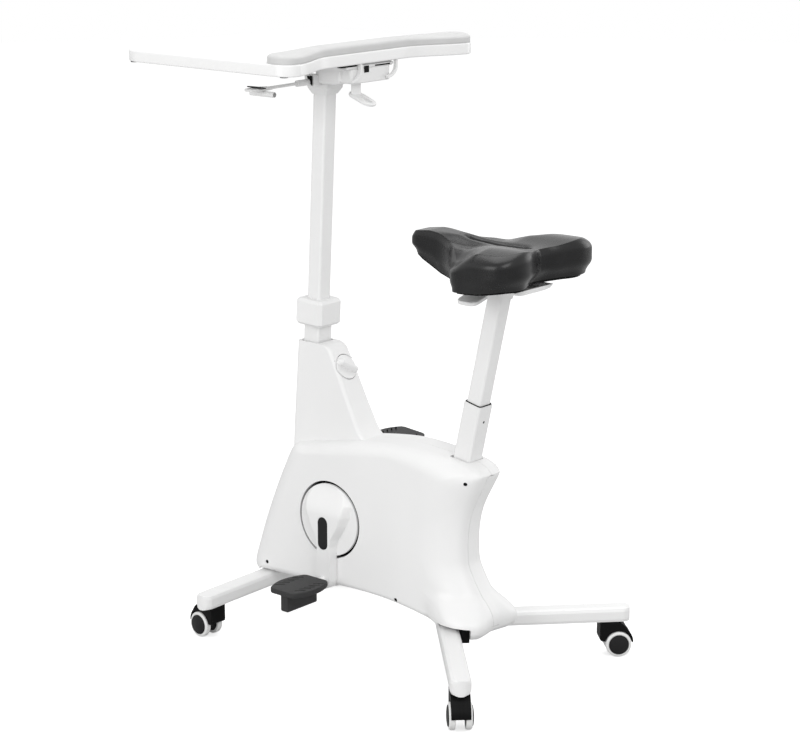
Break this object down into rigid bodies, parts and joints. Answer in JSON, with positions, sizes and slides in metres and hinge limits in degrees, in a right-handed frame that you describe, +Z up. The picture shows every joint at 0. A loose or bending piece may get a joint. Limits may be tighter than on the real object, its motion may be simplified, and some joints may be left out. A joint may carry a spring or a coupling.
{
  "type": "desk exercise bike",
  "caption": "Upright exercise bike with a desk on a telescoping column, a padded saddle on a height-adjustable post, a housed crank drive and splayed legs on twin-wheel casters.",
  "frame": {"origin": "on the floor, below the middle of the whole machine", "axes": "+Z up, the rider faces -Y, the rider's left is +X"},
  "size_m": [0.5822, 0.8948, 1.2387],
  "materials": {
    "white_metal": "semi-gloss powder coat",
    "white_plastic": "fine satin moulding",
    "black_plastic": "satin moulding",
    "grey_plastic": "matte moulding",
    "white_tyre": "smooth hard tread",
    "desk_laminate": "white laminate board with a soft edge",
    "rest_foam": "soft matte pad",
    "black_leather": "smooth covered foam",
    "steel": "ground",
    "cast_iron": "turned rim",
    "belt_rubber": "ribbed drive belt"
  },
  "bodies": {
    "frame": {"frame_beam": "white_metal", "front_foot_bar": "white_metal", "rear_left_leg": "white_metal", "rear_right_leg": "white_metal", "lower_column": "white_metal", "seat_tube": "white_metal", "column_collar": "white_plastic", "left_shell": "white_plastic", "right_shell": "white_plastic", "rear_cover": "white_plastic", "crank_bearing_shell": "white_metal", "drive_belt": "belt_rubber", "brake_cable": "black_plastic", "desk_gas_rod": "steel", "seat_gas_rod": "steel"},
    "crank": {"crank_axle": "steel", "drive_pulley": "black_plastic", "left_crank": "white_plastic", "right_crank": "white_plastic", "left_crank_cap": "black_plastic", "right_crank_cap": "black_plastic"},
    "left_pedal": {"left_pedal": "grey_plastic"},
    "right_pedal": {"right_pedal": "grey_plastic"},
    "flywheel": {"flywheel": "cast_iron", "flywheel_axle": "steel"},
    "brake": {"magnet_bracket": "steel"},
    "dial": {"resistance_dial": "white_plastic"},
    "desk_lift": {"upper_column": "white_metal", "desk_gas_cylinder": "black_plastic", "desk_head": "white_metal", "slide_plate": "white_metal"},
    "lift_lever": {"lift_lever": "white_metal"},
    "release_lever": {"release_lever": "white_metal"},
    "desktop": {"desktop": "desk_laminate", "wrist_rest": "rest_foam", "desk_rail": "white_metal", "left_hook": "white_metal", "right_hook": "white_metal"},
    "seat": {"seat_post": "white_metal", "seat_gas_cylinder": "black_plastic", "saddle_bracket": "white_metal", "saddle_base": "black_plastic", "saddle_cushion": "black_leather"},
    "seat_lever": {"seat_lever": "white_plastic"},
    "front_left_caster": {"front_left_caster_hood": "black_plastic"},
    "front_left_caster_wheels": {"front_left_caster_hubs": "black_plastic", "front_left_caster_tyre_a": "white_tyre", "front_left_caster_tyre_b": "white_tyre"},
    "front_right_caster": {"front_right_caster_hood": "black_plastic"},
    "front_right_caster_wheels": {"front_right_caster_hubs": "black_plastic", "front_right_caster_tyre_a": "white_tyre", "front_right_caster_tyre_b": "white_tyre"},
    "rear_left_caster": {"rear_left_caster_hood": "black_plastic"},
    "rear_left_caster_wheels": {"rear_left_caster_hubs": "black_plastic", "rear_left_caster_tyre_a": "white_tyre", "rear_left_caster_tyre_b": "white_tyre"},
    "rear_right_caster": {"rear_right_caster_hood": "black_plastic"},
    "rear_right_caster_wheels": {"rear_right_caster_hubs": "black_plastic", "rear_right_caster_tyre_a": "white_tyre", "rear_right_caster_tyre_b": "white_tyre"}
  },
  "joints": [
    {"name": "desk_height", "type": "slide", "parent": "frame", "child": "desk_lift", "axis": [0, 0.0504, 0.9987], "range_m": [-0.22, 0.03]},
    {"name": "desk_depth", "type": "slide", "parent": "desk_lift", "child": "desktop", "axis": [0, 1, 0], "range_m": [0, 0.1]},
    {"name": "lift_lever_hinge", "type": "hinge", "parent": "desk_lift", "child": "lift_lever", "pos_m": [0.047, -0.15, 1.157], "axis": [0, -1, 0], "range_deg": [0, 5], "stiffness_Nm_per_rad": 20, "springref_deg": -1.15},
    {"name": "release_lever_hinge", "type": "hinge", "parent": "desk_lift", "child": "release_lever", "pos_m": [0, -0.0715, 1.1574], "axis": [1, 0, 0], "range_deg": [0, 10], "stiffness_Nm_per_rad": 5, "springref_deg": -1.15},
    {"name": "dial_turn", "type": "hinge", "parent": "frame", "child": "dial", "pos_m": [0, -0.10853, 0.569], "axis": [0, 0.8598, 0.5107], "range_deg": [0, 270]},
    {"name": "brake_swing", "type": "hinge", "parent": "frame", "child": "brake", "pos_m": [0, -0.042, 0.182], "axis": [1, 0, 0], "range_deg": [0, 5]},
    {"name": "flywheel_spin", "type": "hinge", "parent": "frame", "child": "flywheel", "pos_m": [0, 0.05, 0.282], "axis": [1, 0, 0], "continuous": true},
    {"name": "crank_spin", "type": "hinge", "parent": "frame", "child": "crank", "pos_m": [0, -0.096, 0.261], "axis": [1, 0, 0], "continuous": true},
    {"name": "left_pedal_spin", "type": "hinge", "parent": "crank", "child": "left_pedal", "pos_m": [0.083, -0.096, 0.136], "axis": [1, 0, 0], "continuous": true},
    {"name": "right_pedal_spin", "type": "hinge", "parent": "crank", "child": "right_pedal", "pos_m": [-0.083, -0.096, 0.386], "axis": [1, 0, 0], "continuous": true},
    {"name": "seat_height", "type": "slide", "parent": "frame", "child": "seat", "axis": [0, 0.2187, 0.9758], "range_m": [-0.15, 0.06]},
    {"name": "seat_lever_hinge", "type": "hinge", "parent": "seat", "child": "seat_lever", "pos_m": [0.048, 0.288, 0.791], "axis": [0, -1, 0], "range_deg": [0, 10], "stiffness_Nm_per_rad": 5, "springref_deg": -1.15},
    {"name": "front_left_caster_swivel", "type": "hinge", "parent": "frame", "child": "front_left_caster", "pos_m": [0.21148, -0.28248, 0.0735], "axis": [0, 0, 1], "continuous": true},
    {"name": "front_left_caster_roll", "type": "hinge", "parent": "front_left_caster", "child": "front_left_caster_wheels", "pos_m": [0.20887, -0.31237, 0.027], "axis": [0.9962, -0.0872, 0], "continuous": true},
    {"name": "front_right_caster_swivel", "type": "hinge", "parent": "frame", "child": "front_right_caster", "pos_m": [-0.21148, -0.28248, 0.0735], "axis": [0, 0, 1], "continuous": true},
    {"name": "front_right_caster_roll", "type": "hinge", "parent": "front_right_caster", "child": "front_right_caster_wheels", "pos_m": [-0.20887, -0.31237, 0.027], "axis": [0.9962, 0.0872, 0], "continuous": true},
    {"name": "rear_left_caster_swivel", "type": "hinge", "parent": "frame", "child": "rear_left_caster", "pos_m": [0.23464, 0.38762, 0.0735], "axis": [0, 0, 1], "continuous": true},
    {"name": "rear_left_caster_roll", "type": "hinge", "parent": "rear_left_caster", "child": "rear_left_caster_wheels", "pos_m": [0.2563, 0.40838, 0.027], "axis": [-0.6921, 0.7218, 0], "continuous": true},
    {"name": "rear_right_caster_swivel", "type": "hinge", "parent": "frame", "child": "rear_right_caster", "pos_m": [-0.23464, 0.38762, 0.0735], "axis": [0, 0, 1], "continuous": true},
    {"name": "rear_right_caster_roll", "type": "hinge", "parent": "rear_right_caster", "child": "rear_right_caster_wheels", "pos_m": [-0.2563, 0.40838, 0.027], "axis": [-0.6921, -0.7218, 0], "continuous": true}
  ],
  "couplings": [
    {"joint": "crank_spin", "follows": "flywheel_spin", "ratio": 0.22108},
    {"joint": "brake_swing", "follows": "dial_turn", "ratio": 0.018519}
  ]
}
